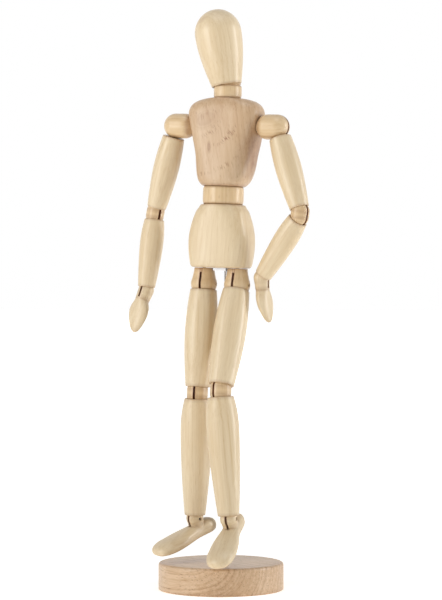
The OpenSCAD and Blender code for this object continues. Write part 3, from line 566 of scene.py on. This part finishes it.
# across, up, half width, half height, slant, strength, dashes or rings
chestMarks = [
    (-1.2, 21.8, 1.5, 4.4, 5, 0.62, False), (11.5, 26.8, 8.5, 2.6, -36, 1.0, True),
    (2, 31.5, 9, 3.2, -28, 0.6, True), (-2, 38, 12, 7, -12, 0.26, False), (-10, 42, 8, 2.5, 10, 0.5, True),
    (-9, 7.5, 9, 1.6, 3, 0.7, True), (8, 10, 8, 2.2, -14, 0.5, True)]
chestWood = woodFinish("chest_beech", "chest", bend(places["chest"], -9, "Y"), 37, chestMarks)
ob = lofted("chest_block", rings)
fromFoot = pin("left_arm_raise") - places["chest"].translation
dishX = fromFoot.dot(axle("left_shoulder_swing")) / mm - 5.5
dishZ = fromFoot.dot(spine) / mm
cut(ob, [ballCutter(7.1 + gap, (s * dishX, 0, dishZ)) for s in (1, -1)])


def ramp(value): return max(0, min(1, value))


def flankShade(v):  # painted shade on the left side under the arm, where the arm shadows the chest
    return ramp((v.x - 14) / 3) * ramp((v.y + 9.5) / 4) * ramp((36 - v.z) / 12) * ramp(v.z / 5)


# the chest side under the left arm gets painted shade, as if shadowed by the arm
markRubAndShade(ob, lambda v: max(
    near(v.z, 1.0), near(v.z - 49.8, 0.5), 1.4 * flankShade(v),
    0.9 * near((v - Vector((math.copysign(dishX, v.x), 0, dishZ))).length - 7.3, 0.5)))
finished(ob, places["chest"], chestWood, "chest", ["chest"])

for name, part, bell in (("waist", waist, 5.6), ("neck", neck, 4.9)):
    R, side, bore = part["ball"], part["across"] / 2, part["bore"]
    edge = part["half"]
    tip = math.degrees(math.acos(bell / R))
    rim = math.degrees(math.asin((edge + 0.35) / R))
    profile = [(bore, 0), (bore, -4.5), (bell, -R * math.sin(math.radians(tip)))]
    profile += arc(0, R, -tip + 2, -rim, 12)
    lip = profile[-1][0] - part["round"]
    profile[-1] = (lip - 0.12, profile[-1][1])
    for a in (math.radians(d) for d in range(6, 91, 12)):
        profile += [(lip + (side - lip) * math.sin(a), -edge * (0.97 - 0.42 * (1 - math.cos(a))))]
    profile += [(side + 0.02, -edge * 0.35)]
    profile += [(a, -b) for a, b in profile[::-1]]
    wood = woodFinish(f"{name}_wood", "ball", places[name], 41 if name == "waist" else 43)
    ob = turned(f"{name}_barrel", profile, wood, 128, 5.0)
    markRubAndShade(ob, lambda v: near(abs(v.z) - edge, 0.9))
    finished(ob, places[name], wood, name, [name])

head = dict(high=43.8, across=26.6, widest=0.685, foot=8.48)
R, foot, wideAt = head["across"] / 2, head["foot"], head["widest"] * head["high"]
cup = neck["ball"] + gap
profile = arc(-neck["half"], cup, 80, 25.6, 8)
profile = [(0, profile[0][1] + 0.1)] + profile + [(foot - 0.25, 0.02), (foot, 0.18), (foot + 0.1, 0.5)]
for t in (i / 30 for i in range(1, 31)):
    profile += [(foot + 0.1 + (R - foot - 0.1) * math.sin(math.radians(90 * t)), 0.5 + t * (wideAt - 0.5))]
for a in (math.radians(d) for d in range(3, 91, 3)):
    profile += [(R * math.cos(a), wideAt + (head["high"] - wideAt) * math.sin(a))]
headMarks = [(1.0, 24.0, 0.9, 1.5, 10, 0.75, True), (-4.5, 38.5, 5, 2.2, -12, 0.20, False)]
headWood = woodFinish("head_wood", "lime", bend(places["head"], 3), 59, headMarks)
ob = turned("head_egg", profile, headWood, 144, 7.0, 0.006)
markRubAndShade(ob, lambda v: near(v.z, 0.8))
finished(ob, places["head"], headWood, "head", ["head"])
print("base, trunk and head")

# limbs, turned between two cups
limbs = dict(
    upper_arm=dict(long=50.5, top=7.1, topRim=6.65, topR=6.3, low=5.2, lowRim=1.9, lowR=5.5,
                   most=7.4, widest=0.42),
    forearm=dict(long=43, top=5.2, topRim=1.9, topR=5.7, low=4.6, lowRim=1.9, lowR=4.95,
                 most=6.75, widest=0.32),
    thigh=dict(long=60.5, top=7.45, topRim=3.28, topR=7.6, low=6.0, lowRim=1.7, lowR=7.1,
               most=9.3, widest=0.46),
    shin=dict(long=70, top=6.0, topRim=1.7, topR=7.3, low=4.9, lowRim=1.9, lowR=6.0,
              most=9.2, widest=0.24),
)
bore = 2.0


def limbProfile(limb):
    top, end = -limb["topRim"], -limb["long"] + limb["lowRim"]
    most, widest, topR, lowR = limb["most"], limb["widest"], limb["topR"], limb["lowR"]
    lift = 0.45  # rounding of the rims
    out = []
    steps = 40
    for i in range(steps + 1):
        t = i / steps
        if t < widest: r = most - (most - topR) * (1 - t / widest) ** 2
        else: r = most - (most - lowR) * ((t - widest) / (1 - widest)) ** 1.6
        out.append((r, top - lift - t * (top - end - 2 * lift)))
    topCup, lowCup = limb["top"] + gap, limb["low"] + gap
    inTop = math.sqrt(topCup ** 2 - top ** 2)
    rimTop = [(topR - lift + lift * math.sin(math.radians(a)), top - lift + lift * math.cos(math.radians(a)))
              for a in range(0, 90, 15)]
    rimLow = [(lowR - lift + lift * math.cos(math.radians(a)), end + lift - lift * math.sin(math.radians(a)))
              for a in range(15, 91, 15)]
    a0, a1 = math.asin(-top / topCup), math.acos(bore / topCup)
    cupTop = [(topCup * math.cos(a), -topCup * math.sin(a))
              for a in (a0 + (a1 - a0) * k / 10 for k in range(11))]
    b0, b1 = math.asin(limb["lowRim"] / lowCup), math.acos(bore / lowCup)
    cupLow = [(lowCup * math.cos(a), -limb["long"] + lowCup * math.sin(a))
              for a in (b0 + (b1 - b0) * k / 10 for k in range(11))]
    lipTop = [] if topR - lift - inTop < 0.1 else [((topR - lift + inTop) / 2, top)]
    halfway = (bore, (cupLow[-1][1] + cupTop[-1][1]) / 2)
    loop = rimTop + out + rimLow + cupLow + [halfway] + cupTop[::-1] + lipTop
    return loop + [loop[0]]


seed = 100
for s in sides:
    for part, limb in limbs.items():
        name = f"{s}_{part}"
        seed += 7
        lean = Matrix.Rotation(math.radians(random.Random(seed).uniform(-3, 3)), 4, "X")
        wood = woodFinish(f"{name}_wood", "lime", places[name] @ lean, seed)
        ob = turned(f"{name}_turned", limbProfile(limb), wood, 112, seed * 1.3, 0.006)
        top, end = limb["topRim"], limb["long"] - limb["lowRim"]
        markRubAndShade(ob, lambda v: max(near(-v.z - top, 0.75), near(-v.z - end, 0.75)))
        finished(ob, places[name], wood, name, [name])
print("limbs")

# slotted balls of the joints
slotWide = 1.1
pinHole = dict(through=0.62, mouth=1.1, deep=0.75)


def dome(r, centre, start, end, steps=16): return arc(centre, r, start, end, steps)


def slotShade(across): return 2.2 * near(abs(across) - slotWide / 2, 0.25)  # painted shade on the sawn walls inside the slot


def pinCutters(r):
    d = r - pinHole["deep"] / 2 + 0.4
    return [roundCutter(pinHole["through"], 2 * r + 4, (0, 0, 0))] + \
        [roundCutter(pinHole["mouth"], pinHole["deep"] + 0.8, (s * d, 0, 0)) for s in (1, -1)]


for s, sign in sides.items():
    for part, r in (("elbow", 5.2), ("knee", 6.0)):
        name = f"{s}_{part}"
        seed += 7
        profile = dome(r, -3.2, -90, 0) + [(r, -1.6)] + dome(r, 0, 0, 90)
        wood = woodFinish(f"{name}_wood", "ball", places[name], seed)
        ob = turned(f"{name}_ball", profile, wood, 112, seed)
        cut(ob, [boxCutter((slotWide, 3 * r, 6 * r), (0, 0, 0))])
        rim = (1.9, 3.2 - 1.9) if part == "elbow" else (1.7, 3.2 - 1.7)
        markRubAndShade(ob, lambda v: max(0.6 * near(abs(v.z + 1.6) - 0.35 - r * 0.30, 0.8), slotShade(v.x)))
        finished(ob, places[name], wood, name, [name])

    name, r = f"{s}_hip", 7.45
    seed += 7
    profile = dome(r, 0, -90, 25, 22)
    profile += [(6.45, 4.6), (6.1, 6.2), (5.8, 8.0), (5.7, 9.0), (5.6, 9.15), (3, 9.15), (0, 9.15)]
    wood = woodFinish(f"{name}_wood", "ball", places[name], seed)
    ob = turned(f"{name}_ball", profile, wood, 112, seed)
    cut(ob, [boxCutter((slotWide, 24, 16), (0, 0, 6.8 - 8))] + pinCutters(r)
        + [roundCutter(1.05, 8, (0, 0, 8), "Z"), roundCutter(1.85, 1.7, (0, 0, 5.85), "Z")])
    markRubAndShade(ob, lambda v: max(near(v.z + 3.3, 0.9), near(v.z - 9.1, 1.2), slotShade(v.x)))
    finished(ob, places[name], wood, name, [name])

    name, r = f"{s}_shoulder", 7.1
    seed += 7
    profile = dome(r, -5.5, -90, 0) + [(r, -4), (r, -2), (r, -0.6)] + dome(r, 0, 0, 90)
    along = places[name] @ Matrix.Rotation(math.radians(90 * sign), 4, "Y")
    wood = woodFinish(f"{name}_wood", "ball", along, seed)
    ob = turned(f"{name}_cap", profile, wood, 112, seed)
    ob.data.transform(Matrix.Rotation(math.radians(90 * sign), 4, "Y"))
    cut(ob, [boxCutter((16.2, slotWide, 22), (sign * 6.1, 0, 0)),
             roundCutter(0.65, 16, (-sign * 8, 0, 0)), roundCutter(1.0, 10.5, (-sign * 5.25, 0, 0))])
    markRubAndShade(ob, lambda v: max(
        0.9 * near(v.x * sign + 9.5, 1.3), 0.6 * near(-v.z - 6.2, 0.7),
        slotShade(v.y) if v.x * sign > -2 else 0))
    finished(ob, places[name], wood, name, [name])
print("joint balls")

# hands and feet
# height, half width, half thickness, squareness, middle across and outwards
hand = [
    (-6.2, 4.3, 4.0, 2.0, 0, 0), (-7.0, 4.35, 3.75, 2.0, 0, 0.05), (-8.2, 4.9, 3.6, 2.1, 0, 0.15),
    (-10.2, 5.9, 3.45, 2.2, 0, 0.35), (-12.6, 6.55, 3.3, 2.2, 0, 0.7), (-15.4, 6.5, 3.05, 2.2, 0.1, 1.15),
    (-18.4, 5.7, 2.7, 2.15, 0.2, 1.7), (-21.4, 4.4, 2.2, 2.1, 0.3, 2.3), (-23.6, 3.1, 1.7, 2.05, 0.4, 2.75),
    (-24.9, 1.8, 1.1, 2.0, 0.45, 3.0), (-25.5, 0.6, 0.4, 2.0, 0.45, 3.1)]
# heel to toe: place along the foot, half width, top, sole
foot = [
    (12.7, 0.8, -6.6, -8.2), (12.3, 2.3, -5.2, -9.6), (11.2, 3.7, -4.0, -10.7), (9.2, 4.7, -3.0, -11.3),
    (6.8, 5.1, -2.5, -11.5), (4.2, 5.1, -2.6, -11.5), (1.0, 4.9, -2.9, -11.5), (-3, 5.2, -3.2, -11.5),
    (-7, 6.1, -3.4, -11.6), (-11, 7.0, -3.6, -11.8), (-15, 7.6, -3.8, -12.0), (-19.5, 7.9, -4.1, -12.2),
    (-24, 7.8, -4.3, -12.1), (-27.5, 7.1, -4.9, -11.8), (-29.9, 5.9, -5.8, -11.3),
    (-31.2, 4.2, -6.8, -10.6), (-31.8, 2.2, -7.8, -9.9), (-32.0, 0.9, -8.5, -9.4)]
for s, sign in sides.items():
    name, r = f"{s}_hand", 4.6
    seed += 7
    rings = []
    for a in (math.radians(d) for d in (4, 14, 26, 40, 55, 70, 82, 90)):
        out = r * math.sin(a)
        rings.append([(x, y, r * math.cos(a)) for x, y in squircle(out, out, 2, 80)])
    rings += [[(x, y, z) for x, y in squircle(4.62 + z * 0.04, 4.62 + z * 0.14, 2, 80)] for z in (-2.5, -4.0)]
    rings += [[(x, y, z) for x, y in squircle(wx, wy, power, 80, cx, cy)]
              for z, wx, wy, power, cx, cy in smoothStations(hand, 5)]
    wood = woodFinish(f"{name}_wood", "lime", places[name] @ Matrix.Rotation(math.radians(5), 4, "Y"), seed)
    ob = lofted(f"{name}_mitten", rings)
    cut(ob, [boxCutter((slotWide, 14, 16), (0, 0, 8 - 6.0))])
    markRubAndShade(ob, lambda v: max(
        near(v.z + 6.7, 0.8), 0.6 * near(v.z + 1.9, 0.7), 0.5 * near(v.z + 25.5, 1.5),
        slotShade(v.x) if v.z > -6.2 else 0))
    finished(ob, places[name], wood, name, [name])

    name, r = f"{s}_foot", 4.9
    seed += 7
    rings = []
    for y, half, zTop, sole in smoothStations(foot, 4):
        tall = (zTop - sole) / 2
        flat = 2.9 if -27 < y < 11 else 2.3
        ring = []
        for x, z in squircle(half, tall, 2.35, 72):
            if z < 0: z = -tall * (abs(z) / tall) ** (2.35 / flat)  # the sole is flatter than the top
            ring.append((x, y, (zTop + sole) / 2 + z))
        rings.append(ring)
    wood = woodFinish(f"{name}_wood", "lime", places[name] @ Matrix.Rotation(math.radians(84), 4, "X"), seed)
    ob = lofted(f"{name}_block", rings)
    profile = dome(r, 0, 90, -18, 20)
    profile += [(4.6, -2.4), (4.55, -4), (4.6, -5.5), (4.6, -7.5), (2, -7.5), (0, -7.5)]
    stub = turned("stub", profile, wood, 96, seed)
    cut(ob, [stub], "UNION")
    cut(ob, [boxCutter((slotWide, 10.4, 16), (0, 0, 8 - 5.5))] + pinCutters(r))
    markRubAndShade(ob, lambda v: max(
        0.9 * near(math.hypot(v.x, v.y) - 4.9, 0.7) * near(v.z + 3.3, 1.1),
        0.6 * near(v.z + 1.9, 0.7) if math.hypot(v.x, v.y) < 5.1 else 0,
        slotShade(v.x) if v.z > -5.7 and abs(v.y) < 5 else 0, 0.45 * near(v.z + 11.4, 0.6)))
    finished(ob, places[name], wood, name, [name])
print("hands and feet")

# metal carried over from the frame
rodSteel = steelFinish("rod_steel", 0.24, (206, 206, 208), (1500, 1500, 24))
pinSteel = steelFinish("pin_steel", 0.5, (58, 50, 44), (900, 900, 900))
springSteel = steelFinish("spring_steel", 0.34, (176, 176, 180), (800, 800, 800))
plateSteel = steelFinish("plate_steel", 0.38, (198, 198, 200), (1400, 60, 400))
for name, node in frame["nodes"].items():
    if node.hide_render: continue
    if name == "support_rod": look = rodSteel
    elif name == "pelvis_fittings": look = plateSteel
    elif "pin" in name: look = pinSteel
    else: look = springSteel
    node.data.materials.clear()
    node.data.materials.append(look)
print("metal")

# table top: paper that glows as painted light
shop = Shop("table_paper")
spread = shop.add("ShaderNodeVectorMath", dict(operation="LENGTH"), {0: shop.at})
glow = shop.step(shop.out(spread, 1), 0.12, 1.6)  # painted light: the paper glows fainter near the figure and brightens away from it
paperTone = shop.mixed(shop.noise(shop.at, 9.0, 2.0), tint(250, 250, 249), tint(253, 253, 253))
shop.feed(shop.skin, {
    "Base Color": paperTone, "Roughness": 0.75,
    "Emission Color": shop.mixed(glow, tint(198, 196, 192), tint(255, 255, 255)), "Emission Strength": 1.0})
mesh = bpy.data.meshes.new("table")
mesh.from_pydata([(-30, -30, 0), (30, -30, 0), (30, 30, 0), (-30, 30, 0)], [], [(0, 1, 2, 3)])
mesh.materials.append(shop.mat)
table = takeOn("table", mesh)

print("done")
